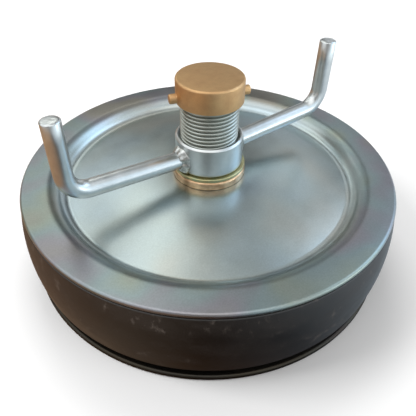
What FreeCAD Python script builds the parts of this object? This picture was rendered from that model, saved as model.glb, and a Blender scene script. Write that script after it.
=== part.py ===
"""Pipe expansion plug, size 9 inch, in millimetres.

A rubber ring is held between two pressed steel plates. A threaded tube is welded to the lower
plate and passes through the upper one. Turning the wing nut on the tube pushes the upper plate
down and squeezes the ring out against the pipe. A brass cap closes the tube's outlet.
Origin: centre of the lower plate's resting face. +Z runs up the tube, the arms lie along X.
"""
import FreeCAD, Part
import os
import math
import Sketcher
from FreeCAD import Placement, Rotation, Vector

# Driving dimensions: name, value, meaning
SIZES = [
    ("plate_radius", 110.0, "outer radius of both plates"),
    ("sheet_gauge", 3.5, "thickness of the pressed sheet"),
    ("body_height", 55.0, "resting face to the upper plate's flange, ring relaxed"),
    ("flange_width", 18.5, "flat rim of a plate, up to the bend"),
    ("dish_wall_run", 4.6, "how far the dish wall leans inwards"),
    ("dish_depth", 8.0, "flange face to the floor at the foot of the wall"),
    ("seat_depth", 2.0, "flange face to the flat seat round the hole"),
    ("seat_radius", 26.0, "flat seat under the friction ring"),
    ("bend_radius", 2.5, "inside radius of the pressed bends"),
    ("edge_round", 1.0, "rounding of the sheared plate edge"),
    ("hole_clearance", 0.4, "radial play of loose pieces on the tube"),
    ("weld_gap", 0.1, "radial gap of a piece that is welded on"),
    ("thread_radius", 16.625, "crest radius of the tube's one inch pipe thread"),
    ("thread_clearance", 0.08, "radial play of nut and cap on the crests"),
    ("tube_bore", 13.6, "inside radius of the tube"),
    ("tube_foot", 1.5, "height of the tube's lower end above the resting face"),
    ("tube_above", 52.0, "tube end above the upper flange face"),
    ("tube_chamfer", 0.8, "lead-in chamfer of the thread"),
    ("tube_weld_leg", 4.0, "leg of the bead between tube and lower plate"),
    ("ring_thickness", 13.5, "radial thickness of the rubber ring at the plates"),
    ("ring_bulge", 2.3, "how far the ring's wall swells past the plates"),
    ("ring_bevel_width", 4.0, "bevel of the ring's lower corner, inwards"),
    ("ring_bevel_rise", 6.5, "bevel of the ring's lower corner, upwards"),
    ("ring_lip_round", 1.0, "rounding of the ring's upper lip"),
    ("friction_radius", 21.8, "outer radius of the brass friction ring"),
    ("friction_thickness", 5.0, "thickness of the brass friction ring"),
    ("friction_round", 1.5, "rounding of its outer edges"),
    ("washer_radius", 21.5, "outer radius of the steel washer"),
    ("washer_thickness", 2.1, "thickness of the steel washer"),
    ("washer_chamfer", 0.4, "chamfer of the washer's outer edges"),
    ("collar_radius", 19.7, "outer radius of the nut collar"),
    ("collar_length", 18.6, "height of the nut collar"),
    ("collar_chamfer", 1.0, "chamfer of the collar's outer edges"),
    ("arm_diameter", 10.0, "diameter of the arms' round bar"),
    ("arm_height", 10.9, "arm axis above the upper flange face, carried on to the centre line"),
    ("arm_rise", 3.5, "rise of the lying stretch, degrees"),
    ("arm_reach", 86.7, "centre line to the arm's bend, along the lying stretch"),
    ("arm_upright", 43.5, "length of the upright stretch from the bend's corner"),
    ("arm_lean", 0.5, "outward lean of the upright stretch, degrees"),
    ("arm_bend_radius", 13.0, "centre line radius of the arm's bend"),
    ("arm_end_chamfer", 1.0, "chamfer of the arm's cut end"),
    ("arm_weld_leg", 3.5, "leg of the bead between arm and collar"),
    ("arm_weld_lift", 0.4, "least height of that bead above the collar's foot"),
    ("cap_radius", 18.9, "outer radius of the outlet cap"),
    ("cap_length", 13.2, "height of the outlet cap"),
    ("cap_crown", 4.0, "thickness of the cap's closed end"),
    ("cap_round", 1.3, "rounding of the cap's upper edge"),
    ("cap_turn", -18.0, "angle of the cap's lugs from the arms, degrees"),
    ("lug_diameter", 5.4, "diameter of the cap's two lugs"),
    ("lug_reach", 4.0, "how far a lug stands out of the cap"),
    ("lug_drop", 10.4, "lug axis below the top of the cap"),
    ("lug_round", 0.8, "rounding of a lug's end"),
    ("seal_thickness", 2.0, "thickness of the cap's rubber washer"),
    ("seal_bore", 10.5, "inside radius of the cap's rubber washer"),
    ("seal_clearance", 0.3, "radial play of that washer in the cap"),
]

# Places that several pieces share, as formulas over the sheet
FLANGE_TOP = "Sizes.body_height"
DISH_RADIUS = "(Sizes.plate_radius - Sizes.flange_width)"
FLOOR_RADIUS = f"({DISH_RADIUS} - Sizes.dish_wall_run)"
BEND_SHIFT = "(Sizes.sheet_gauge * tan(atan(Sizes.dish_depth / Sizes.dish_wall_run) / 2))"
LOOSE_BORE = "(Sizes.thread_radius + Sizes.hole_clearance)"
WELDED_BORE = "(Sizes.thread_radius + Sizes.weld_gap)"
THREADED_BORE = "(Sizes.thread_radius + Sizes.thread_clearance)"
FRICTION_FOOT = f"({FLANGE_TOP} - Sizes.seat_depth)"
WASHER_FOOT = f"({FRICTION_FOOT} + Sizes.friction_thickness)"
COLLAR_FOOT = f"({WASHER_FOOT} + Sizes.washer_thickness)"
TUBE_TOP = f"({FLANGE_TOP} + Sizes.tube_above)"
CAP_TOP = f"({TUBE_TOP} + Sizes.seal_thickness + Sizes.cap_crown)"
CAP_FOOT = f"({CAP_TOP} - Sizes.cap_length)"
LUG_HEIGHT = f"({CAP_TOP} - Sizes.lug_drop)"

doc = FreeCAD.newDocument("expansion_plug")
sheet = doc.addObject("Spreadsheet::Sheet", "Sizes")
for row, (alias, amount, meaning) in enumerate(SIZES, start=1):
    sheet.set(f"A{row}", meaning)
    sheet.set(f"B{row}", str(amount))
    sheet.setAlias(f"B{row}", alias)
doc.recompute()


def value(formula):
    """Number that a formula over the sheet gives."""
    result = sheet.evalExpression(formula)
    return float(getattr(result, "Value", result))


# Helpers for bodies, sketches and features

def new_body(label):
    """Empty body that will be exported under its label."""
    body = doc.addObject("PartDesign::Body", label)
    body.Label = label
    return body


def new_sketch(body, role, name):
    """Sketch on one of the body's own origin planes."""
    sketch = body.newObject("Sketcher::SketchObject", f"{body.Name}_{name}")
    plane = next(item for item in body.Origin.OriginFeatures if item.Role == role)
    sketch.AttachmentSupport = [(plane, "")]
    sketch.MapMode = "FlatFace"
    return sketch


def bind(sketch, constraint, formula):
    """Add a dimension to a sketch and drive it by a formula."""
    number = sketch.addConstraint(constraint)
    sketch.setExpression(f"Constraints[{number}]", formula)


def place_point(sketch, edge, end, across, up):
    """Hold one sketch point at a distance across and up from the sketch's origin."""
    for kind, formula in (("DistanceX", across), ("DistanceY", up)):
        if formula == "0":
            axis_edge = -2 if kind == "DistanceX" else -1
            sketch.addConstraint(Sketcher.Constraint("PointOnObject", edge, end, axis_edge))
        else:
            amount = value(formula)
            bind(sketch, Sketcher.Constraint(kind, -1, 1, edge, end, amount), formula)


def arc_ends(first, centre, last):
    """Numbers of an arc's first and last point: a sketch numbers them anticlockwise."""
    turn = (first - centre).cross(last - centre)
    return (1, 2) if turn.z > 0 else (2, 1)


def outline(sketch, corners, arcs=None):
    """Closed outline through corners given as formulas (across, up).

    arcs maps the number of a side to the formula of its arc's centre, across.
    """
    arcs = arcs or {}
    points = [Vector(value(across), value(up), 0) for across, up in corners]
    ends = []
    for side, first in enumerate(points):
        last = points[(side + 1) % len(points)]
        if side not in arcs:
            sketch.addGeometry(Part.LineSegment(first, last), False)
            ends.append((1, 2))
            continue
        middle = (first + last) * 0.5
        chord = last - first
        centre = Vector(value(arcs[side]), 0, 0)
        centre.y = middle.y - (centre.x - middle.x) * chord.x / chord.y
        outward = (middle - centre).normalize() * (first - centre).Length
        sketch.addGeometry(Part.Arc(first, centre + outward, last), False)
        ends.append(arc_ends(first, centre, last))
    for side in range(len(points)):
        following = (side + 1) % len(points)
        sketch.addConstraint(Sketcher.Constraint(
            "Coincident", side, ends[side][1], following, ends[following][0]))
    for side, (across, up) in enumerate(corners):
        place_point(sketch, side, ends[side][0], across, up)
    for side, centre_across in arcs.items():
        amount = value(centre_across)
        bind(sketch, Sketcher.Constraint("DistanceX", -1, 1, side, 3, amount), centre_across)


def circle(sketch, radius, across="0", up="0"):
    """Circle with its radius and centre driven by formulas."""
    centre = Vector(value(across), value(up), 0)
    number = sketch.addGeometry(Part.Circle(centre, Vector(0, 0, 1), value(radius)), False)
    place_point(sketch, number, 3, across, up)
    bind(sketch, Sketcher.Constraint("Radius", number, value(radius)), radius)


def turned(body, name, corners, arcs=None):
    """Piece turned about Z from an outline given as (radius, height)."""
    sketch = new_sketch(body, "XZ_Plane", name)
    outline(sketch, corners, arcs)
    feature = body.newObject("PartDesign::Revolution", f"{body.Name}_turned")
    feature.Profile = (sketch, [""])
    feature.ReferenceAxis = (sketch, ["V_Axis"])
    feature.Angle = 360.0
    sketch.Visibility = False
    doc.recompute()
    return feature


def raised_ring(body, outer, inner, foot, thickness):
    """Flat ring raised from its foot height: a blanked washer or a cut length of pipe."""
    sketch = new_sketch(body, "XY_Plane", "face")
    circle(sketch, outer)
    circle(sketch, inner)
    sketch.setExpression("AttachmentOffset.Base.z", foot)
    feature = body.newObject("PartDesign::Pad", f"{body.Name}_pad")
    feature.Profile = sketch
    feature.setExpression("Length", thickness)
    sketch.Visibility = False
    doc.recompute()
    return feature


def round_edges(feature, radius, height=None, tolerance=0.02):
    """Names of a feature's full circle edges about Z at a radius, and at a height if one is given."""
    names = []
    for number, edge in enumerate(feature.Shape.Edges, start=1):
        curve = edge.Curve
        if not isinstance(curve, Part.Circle) or abs(curve.Axis.z) < 0.999:
            continue
        if abs(curve.Radius - value(radius)) > tolerance:
            continue
        if height is None or abs(curve.Center.z - value(height)) < tolerance:
            names.append(f"Edge{number}")
    return names


def dress_edges(body, kind, base, names, formula):
    """Fillet or chamfer on named edges of the body's last feature."""
    feature = body.newObject(f"PartDesign::{kind}", f"{body.Name}_{kind.lower()}")
    feature.Base = (base, names)
    feature.setExpression("Radius" if kind == "Fillet" else "Size", formula)
    body.Tip = feature
    doc.recompute()
    return feature


# Pressed plates

def pressed_plate(label, bore, face, way):
    """Round dished plate; face is its flange face and way is + or -, the side its flange faces."""
    def level(depth, under):
        away = "-" if way == "+" else "+"
        steps = [step for step in (depth, "Sizes.sheet_gauge" if under else "0") if step != "0"]
        if not steps:
            return face
        return f"({face} {away} ({' + '.join(steps)}))"

    outer = "Sizes.plate_radius"
    body = new_body(label)
    corners = [
        (bore, level("Sizes.seat_depth", False)),
        ("Sizes.seat_radius", level("Sizes.seat_depth", False)),
        (FLOOR_RADIUS, level("Sizes.dish_depth", False)),
        (DISH_RADIUS, level("0", False)),
        (outer, level("0", False)),
        (outer, level("0", True)),
        (f"({DISH_RADIUS} + {BEND_SHIFT})", level("0", True)),
        (f"({FLOOR_RADIUS} + {BEND_SHIFT})", level("Sizes.dish_depth", True)),
        ("Sizes.seat_radius", level("Sizes.seat_depth", True)),
        (bore, level("Sizes.seat_depth", True)),
    ]
    blank = turned(body, "section", corners, {1: "Sizes.seat_radius", 7: "Sizes.seat_radius"})

    outside = "(Sizes.bend_radius + Sizes.sheet_gauge)"
    floor_bend = round_edges(blank, FLOOR_RADIUS, corners[2][1])
    rim_bend = round_edges(blank, corners[6][0], corners[6][1])
    inner = dress_edges(body, "Fillet", blank, floor_bend + rim_bend, "Sizes.bend_radius")
    floor_back = round_edges(inner, corners[7][0], corners[7][1])
    rim_back = round_edges(inner, DISH_RADIUS, corners[3][1])
    outer_bends = dress_edges(body, "Fillet", inner, floor_back + rim_back, outside)
    sheared = round_edges(outer_bends, outer)
    dress_edges(body, "Fillet", outer_bends, sheared, "Sizes.edge_round")
    return body


lower_plate = pressed_plate("lower_plate", WELDED_BORE, "0", "-")
upper_plate = pressed_plate("upper_plate", LOOSE_BORE, FLANGE_TOP, "+")

# Rubber ring: swollen wall, sharp upper lip, bevelled lower corner
RING_FOOT = "Sizes.sheet_gauge"
RING_HEAD = f"({FLANGE_TOP} - Sizes.sheet_gauge)"
RING_BORE = "(Sizes.plate_radius - Sizes.ring_thickness)"
WALL_FOOT = f"({RING_FOOT} + Sizes.ring_bevel_rise)"
WALL_HEIGHT = f"({RING_HEAD} - {WALL_FOOT})"
WALL_CENTRE = (f"(Sizes.plate_radius + Sizes.ring_bulge"
               f" - ({WALL_HEIGHT} * {WALL_HEIGHT} / 4 + Sizes.ring_bulge * Sizes.ring_bulge)"
               f" / (2 * Sizes.ring_bulge))")
sealing_ring = new_body("sealing_ring")
ring_blank = turned(sealing_ring, "section", [
    (RING_BORE, RING_FOOT),
    ("(Sizes.plate_radius - Sizes.ring_bevel_width)", RING_FOOT),
    ("Sizes.plate_radius", WALL_FOOT),
    ("Sizes.plate_radius", RING_HEAD),
    (RING_BORE, RING_HEAD),
], {2: WALL_CENTRE})
lip = round_edges(ring_blank, "Sizes.plate_radius", RING_HEAD)
dress_edges(sealing_ring, "Fillet", ring_blank, lip, "Sizes.ring_lip_round")

# Threaded tube, a plain cylinder at the thread's crests
centre_tube = new_body("centre_tube")
tube_blank = turned(centre_tube, "section", [
    ("Sizes.tube_bore", "Sizes.tube_foot"),
    ("Sizes.thread_radius", "Sizes.tube_foot"),
    ("Sizes.thread_radius", TUBE_TOP),
    ("Sizes.tube_bore", TUBE_TOP),
])
tube_end = round_edges(tube_blank, "Sizes.thread_radius", TUBE_TOP)
dress_edges(centre_tube, "Chamfer", tube_blank, tube_end, "Sizes.tube_chamfer")

# Weld bead between the tube and the lower plate, inside the plug
BEAD_FOOT = "(Sizes.seat_depth + Sizes.sheet_gauge)"
tube_weld = new_body("tube_weld")
turned(tube_weld, "section", [
    (WELDED_BORE, BEAD_FOOT),
    (f"({WELDED_BORE} + Sizes.tube_weld_leg)", BEAD_FOOT),
    (WELDED_BORE, f"({BEAD_FOOT} + Sizes.tube_weld_leg)"),
])

# Brass friction ring and steel washer under the nut
friction_ring = new_body("friction_ring")
friction_blank = raised_ring(friction_ring, "Sizes.friction_radius", LOOSE_BORE,
                             FRICTION_FOOT, "Sizes.friction_thickness")
dress_edges(friction_ring, "Fillet", friction_blank,
            round_edges(friction_blank, "Sizes.friction_radius"), "Sizes.friction_round")

thrust_washer = new_body("thrust_washer")
washer_blank = raised_ring(thrust_washer, "Sizes.washer_radius", LOOSE_BORE,
                           WASHER_FOOT, "Sizes.washer_thickness")
dress_edges(thrust_washer, "Chamfer", washer_blank,
            round_edges(washer_blank, "Sizes.washer_radius"), "Sizes.washer_chamfer")

# Wing nut: threaded collar with two bent arms welded to it
nut_collar = new_body("nut_collar")
collar_blank = raised_ring(nut_collar, "Sizes.collar_radius", THREADED_BORE,
                           COLLAR_FOOT, "Sizes.collar_length")
dress_edges(nut_collar, "Chamfer", collar_blank,
            round_edges(collar_blank, "Sizes.collar_radius"), "Sizes.collar_chamfer")

ARM_RADIUS = "(Sizes.arm_diameter / 2)"
ARM_AXIS = f"({FLANGE_TOP} + Sizes.arm_height)"
COPE_RADIUS = "(Sizes.collar_radius + Sizes.weld_gap)"


def along_arm(sketch):
    """Turn a sketch in the XZ plane so that its first axis runs along the arm."""
    sketch.setExpression("AttachmentOffset.Base.y", ARM_AXIS)
    sketch.AttachmentOffset = Placement(Vector(0, value(ARM_AXIS), 0),
                                        Rotation(Vector(0, 0, 1), value("Sizes.arm_rise")))
    sketch.setExpression("AttachmentOffset.Rotation.Angle", "Sizes.arm_rise")


def cope_to_collar(body):
    """Cut a welded piece to the collar's round, as the bar's end is cut before welding."""
    volume_before = body.Tip.Shape.Volume
    sketch = new_sketch(body, "XY_Plane", "cope_circle")
    circle(sketch, COPE_RADIUS)
    pocket = body.newObject("PartDesign::Pocket", f"{body.Name}_cope")
    pocket.Profile = sketch
    pocket.Type = "ThroughAll"
    pocket.Midplane = True
    body.Tip = pocket
    sketch.Visibility = False
    doc.recompute()
    if pocket.Shape.Volume >= volume_before:
        raise RuntimeError(f"{body.Label}: the cope cut nothing")


def bar_path(body):
    """Centre line of an arm: lying stretch, bend and upright stretch."""
    sketch = new_sketch(body, "XZ_Plane", "path")
    along_arm(sketch)
    turn = math.radians(90.0 - value("Sizes.arm_lean") - value("Sizes.arm_rise"))
    reach = value("Sizes.arm_reach")
    bend = value("Sizes.arm_bend_radius")
    tangent = bend * math.tan(turn / 2)
    start = Vector(value("Sizes.thread_radius"), 0, 0)
    bend_start = Vector(reach - tangent, 0, 0)
    upward = Vector(math.cos(turn), math.sin(turn), 0)
    corner = Vector(reach, 0, 0)
    bend_end = corner + upward * tangent
    tip = corner + upward * value("Sizes.arm_upright")
    centre = bend_start + Vector(0, bend, 0)
    halfway = centre + (corner - centre).normalize() * bend
    lying = sketch.addGeometry(Part.LineSegment(start, bend_start), False)
    elbow = sketch.addGeometry(Part.Arc(bend_start, halfway, bend_end), False)
    upright = sketch.addGeometry(Part.LineSegment(bend_end, tip), False)
    vertex = sketch.addGeometry(Part.Point(corner), True)
    first, last = arc_ends(bend_start, centre, bend_end)
    sketch.addConstraint(Sketcher.Constraint("PointOnObject", lying, 1, -1))
    sketch.addConstraint(Sketcher.Constraint("Horizontal", lying))
    sketch.addConstraint(Sketcher.Constraint("Tangent", lying, 2, elbow, first))
    sketch.addConstraint(Sketcher.Constraint("Tangent", elbow, last, upright, 1))
    sketch.addConstraint(Sketcher.Constraint("PointOnObject", vertex, 1, lying))
    sketch.addConstraint(Sketcher.Constraint("PointOnObject", vertex, 1, upright))
    bind(sketch, Sketcher.Constraint("DistanceX", -1, 1, lying, 1, start.x),
         "Sizes.thread_radius")
    bind(sketch, Sketcher.Constraint("DistanceX", -1, 1, vertex, 1, reach), "Sizes.arm_reach")
    bind(sketch, Sketcher.Constraint("Radius", elbow, bend), "Sizes.arm_bend_radius")
    bind(sketch, Sketcher.Constraint("Distance", vertex, 1, upright, 2,
                                     value("Sizes.arm_upright")), "Sizes.arm_upright")
    bind(sketch, Sketcher.Constraint("Angle", upright, turn),
         "(90 - Sizes.arm_lean - Sizes.arm_rise) * 1 deg")
    sketch.Visibility = False
    return sketch


def bar_section(body):
    """Round section of the bar, square to the foot of its path."""
    sketch = new_sketch(body, "YZ_Plane", "bar")
    circle(sketch, ARM_RADIUS)
    sketch.AttachmentOffset = Placement(Vector(), Rotation(Vector(1, 0, 0), -1))
    sketch.setExpression("AttachmentOffset.Base.y",
                         f"{ARM_AXIS} + Sizes.thread_radius * sin(Sizes.arm_rise * 1 deg)")
    sketch.setExpression("AttachmentOffset.Base.z",
                         "Sizes.thread_radius * cos(Sizes.arm_rise * 1 deg)")
    sketch.setExpression("AttachmentOffset.Rotation.Angle", "-Sizes.arm_rise")
    sketch.Visibility = False
    return sketch


def bent_arm(label, heading):
    """Round bar bent up near its end, its foot coped to the collar."""
    body = new_body(label)
    path = bar_path(body)
    section = bar_section(body)
    doc.recompute()
    pipe = body.newObject("PartDesign::AdditivePipe", f"{label}_pipe")
    pipe.Profile = section
    pipe.Spine = (path, ["Edge1", "Edge2", "Edge3"])
    body.Tip = pipe
    doc.recompute()
    rings = [(edge.Curve.Center.z, f"Edge{number}")
             for number, edge in enumerate(pipe.Shape.Edges, start=1)
             if isinstance(edge.Curve, Part.Circle) and edge.isClosed()]
    dress_edges(body, "Chamfer", pipe, [max(rings)[1]], "Sizes.arm_end_chamfer")
    cope_to_collar(body)
    body.Placement = Placement(Vector(), Rotation(Vector(0, 0, 1), heading))


def arm_bead(label, heading):
    """Weld bead round an arm's foot: a cone about the arm, cut to the bar and to the collar."""
    body = new_body(label)
    sketch = new_sketch(body, "XZ_Plane", "section")
    along_arm(sketch)
    inner = f"({ARM_RADIUS} + Sizes.weld_gap)"
    outer = f"({inner} + Sizes.arm_weld_leg)"
    toe = "(Sizes.collar_radius + Sizes.arm_weld_leg)"
    corners = [(THREADED_BORE, inner), (toe, inner), ("Sizes.collar_radius", outer),
               (THREADED_BORE, outer)]
    outline(sketch, corners)
    feature = body.newObject("PartDesign::Revolution", f"{label}_turned")
    feature.Profile = (sketch, [""])
    feature.ReferenceAxis = (sketch, ["H_Axis"])
    feature.Angle = 360.0
    sketch.Visibility = False
    body.Tip = feature
    doc.recompute()
    cope_to_collar(body)
    trim = new_sketch(body, "XY_Plane", "trim_circle")
    circle(trim, "(Sizes.collar_radius * 2)")
    trim.setExpression("AttachmentOffset.Base.z", f"{COLLAR_FOOT} + Sizes.arm_weld_lift")
    trim.Visibility = False
    untrimmed = body.Tip.Shape.Volume
    pocket = body.newObject("PartDesign::Pocket", f"{label}_trim")
    pocket.Profile = trim
    pocket.setExpression("Length", "Sizes.arm_diameter * 2")
    body.Tip = pocket
    doc.recompute()
    if pocket.Shape.Volume >= untrimmed:
        raise RuntimeError(f"{label}: the trim cut nothing")
    body.Placement = Placement(Vector(), Rotation(Vector(0, 0, 1), heading))


for side, heading in (("right", 0.0), ("left", 180.0)):
    bent_arm(f"{side}_arm", heading)
    arm_bead(f"{side}_arm_weld", heading)

# Outlet cap: one brass casting with two lugs, bored out from below
outlet_cap = new_body("outlet_cap")
cap_blank = turned(outlet_cap, "section", [
    ("0", CAP_FOOT),
    ("Sizes.cap_radius", CAP_FOOT),
    ("Sizes.cap_radius", CAP_TOP),
    ("0", CAP_TOP),
])
crown_edge = round_edges(cap_blank, "Sizes.cap_radius", CAP_TOP)
dress_edges(outlet_cap, "Fillet", cap_blank, crown_edge, "Sizes.cap_round")

lug_sketch = new_sketch(outlet_cap, "YZ_Plane", "lug")
circle(lug_sketch, "(Sizes.lug_diameter / 2)", "0", LUG_HEIGHT)
lug_sketch.Visibility = False
lugs = outlet_cap.newObject("PartDesign::Pad", "outlet_cap_lugs")
lugs.Profile = lug_sketch
lugs.Midplane = True
lugs.setExpression("Length", "2 * (Sizes.cap_radius + Sizes.lug_reach)")
outlet_cap.Tip = lugs
doc.recompute()
lug_span = value("Sizes.cap_radius + Sizes.lug_reach")
lug_ends = [f"Edge{number}" for number, edge in enumerate(lugs.Shape.Edges, start=1)
            if isinstance(edge.Curve, Part.Circle)
            and abs(abs(edge.Curve.Center.x) - lug_span) < 0.01]
dress_edges(outlet_cap, "Fillet", lugs, lug_ends, "Sizes.lug_round")

bore_sketch = new_sketch(outlet_cap, "XY_Plane", "bore")
circle(bore_sketch, THREADED_BORE)
bore_sketch.setExpression("AttachmentOffset.Base.z", CAP_FOOT)
bore_sketch.Visibility = False
solid_volume = outlet_cap.Tip.Shape.Volume
bore = outlet_cap.newObject("PartDesign::Pocket", "outlet_cap_bore")
bore.Profile = bore_sketch
bore.Reversed = True
bore.setExpression("Length", "Sizes.cap_length - Sizes.cap_crown")
outlet_cap.Tip = bore
doc.recompute()
if bore.Shape.Volume >= solid_volume:
    raise RuntimeError("the cap's bore cut nothing")
outlet_cap.Placement = Placement(Vector(), Rotation(Vector(0, 0, 1), value("Sizes.cap_turn")))
outlet_cap.setExpression("Placement.Rotation.Angle", "Sizes.cap_turn")

# Rubber washer between the tube's end and the cap's crown
cap_seal = new_body("cap_seal")
raised_ring(cap_seal, f"({THREADED_BORE} - Sizes.seal_clearance)", "Sizes.seal_bore",
            TUBE_TOP, "Sizes.seal_thickness")

# Check the whole document, then write one file for each piece
doc.recompute()
for item in doc.Objects:
    if {"Invalid", "Error"} & set(item.State):
        raise RuntimeError(f"{item.Name} did not recompute")
os.makedirs("parts", exist_ok=True)
for item in doc.Objects:
    if item.TypeId != "PartDesign::Body":
        continue
    shape = item.Shape
    if shape.isNull() or not shape.isValid() or len(shape.Solids) != 1:
        raise RuntimeError(f"{item.Label} is not one valid solid")
    shape.exportStep(f"parts/{item.Label}.step")
    box = shape.BoundBox
    print(f"{item.Label}: {shape.Volume:.1f} mm3, z {box.ZMin:.2f} to {box.ZMax:.2f}")
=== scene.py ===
"""Pipe expansion plug: finishes, threads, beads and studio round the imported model.

Sizes are written in millimetres and turned to metres where a mesh is made.
"""
import logging
import math
from collections.abc import Iterable, Mapping, Sequence
from dataclasses import dataclass
from enum import Enum
from typing import Any

import bmesh
import bpy
from mathutils import Matrix, Vector, noise


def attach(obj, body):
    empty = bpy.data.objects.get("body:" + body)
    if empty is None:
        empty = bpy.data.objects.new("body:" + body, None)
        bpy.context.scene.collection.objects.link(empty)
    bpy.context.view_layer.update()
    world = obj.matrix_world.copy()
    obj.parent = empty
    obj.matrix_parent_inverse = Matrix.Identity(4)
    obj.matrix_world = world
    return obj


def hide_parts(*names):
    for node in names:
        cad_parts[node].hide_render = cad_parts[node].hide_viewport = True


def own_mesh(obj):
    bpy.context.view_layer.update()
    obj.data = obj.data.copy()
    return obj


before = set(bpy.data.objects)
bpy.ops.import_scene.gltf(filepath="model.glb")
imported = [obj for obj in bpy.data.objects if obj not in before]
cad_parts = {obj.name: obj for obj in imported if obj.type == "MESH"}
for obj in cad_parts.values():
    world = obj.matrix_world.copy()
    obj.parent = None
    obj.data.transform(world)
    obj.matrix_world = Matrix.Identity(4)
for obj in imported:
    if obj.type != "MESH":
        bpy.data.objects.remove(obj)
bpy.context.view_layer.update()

MM = 0.001
SHARP_DEG = 38.0
MERGE_M = 1e-7
FLAT_FACE_M2 = 1e-14
RUBBER_IOR = 1.52
LOG = logging.getLogger("expansion_plug")

Point = tuple[float, float]


class Body(Enum):
    """Rigid bodies of the plug that pieces ride on."""

    BASE = "base"
    PRESSURE_PLATE = "pressure_plate"
    WING_NUT = "wing_nut"
    CAP = "cap"


class Slot(Enum):
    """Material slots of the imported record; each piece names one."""

    ZINC_PLATE = "zinc_plate"
    RING_RUBBER = "ring_rubber"
    ZINC_TUBE = "zinc_tube"
    WELD_BEAD = "weld_bead"
    RING_BRASS = "ring_brass"
    YELLOW_ZINC = "yellow_zinc"
    ZINC_BAR = "zinc_bar"
    CAP_BRASS = "cap_brass"


# Colour and node helpers


def srgb(code: str) -> tuple[float, float, float, float]:
    """Turn an sRGB hex code into a linear colour.

    Args:
        code: Six hex digits after a hash sign.

    Returns:
        Linear red, green, blue and an alpha of one.
    """
    channels = [int(code[i:i + 2], 16) / 255.0 for i in (1, 3, 5)]
    linear = [c / 12.92 if c <= 0.04045 else ((c + 0.055) / 1.055) ** 2.4 for c in channels]
    return (linear[0], linear[1], linear[2], 1.0)


def lit(code: str, strength: float) -> tuple[float, float, float, float]:
    """Linear colour of an sRGB hex code, brighter or darker by a strength."""
    red, green, blue, _ = srgb(code)
    return (red * strength, green * strength, blue * strength, 1.0)


def add_node(
    tree: bpy.types.NodeTree,
    kind: str,
    inputs: Mapping[str | int, Any] | None = None,
    **settings: Any,
) -> bpy.types.Node:
    """Add a node with its settings and links.

    Args:
        tree: Node tree that receives the node.
        kind: Blender's name of the node type.
        inputs: Value or output socket for each named or numbered input.
        settings: Attributes of the node itself.

    Returns:
        The new node.
    """
    node = tree.nodes.new(kind)
    for name, setting in settings.items():
        setattr(node, name, setting)
    for key, source in (inputs or {}).items():
        socket = node.inputs[key]
        if isinstance(source, bpy.types.NodeSocket):
            tree.links.new(source, socket)
        else:
            socket.default_value = source
    return node


def ramp(node: bpy.types.Node, stops: Sequence[tuple[float, str]]) -> bpy.types.NodeSocket:
    """Set the stops of a colour ramp.

    Args:
        node: Colour ramp node.
        stops: Position and sRGB hex code of each stop.

    Returns:
        The ramp's colour output.
    """
    elements = node.color_ramp.elements
    while len(elements) < len(stops):
        elements.new(0.5)
    for element, (position, code) in zip(elements, stops):
        element.position = position
        element.color = srgb(code)
    return node.outputs["Color"]


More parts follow.
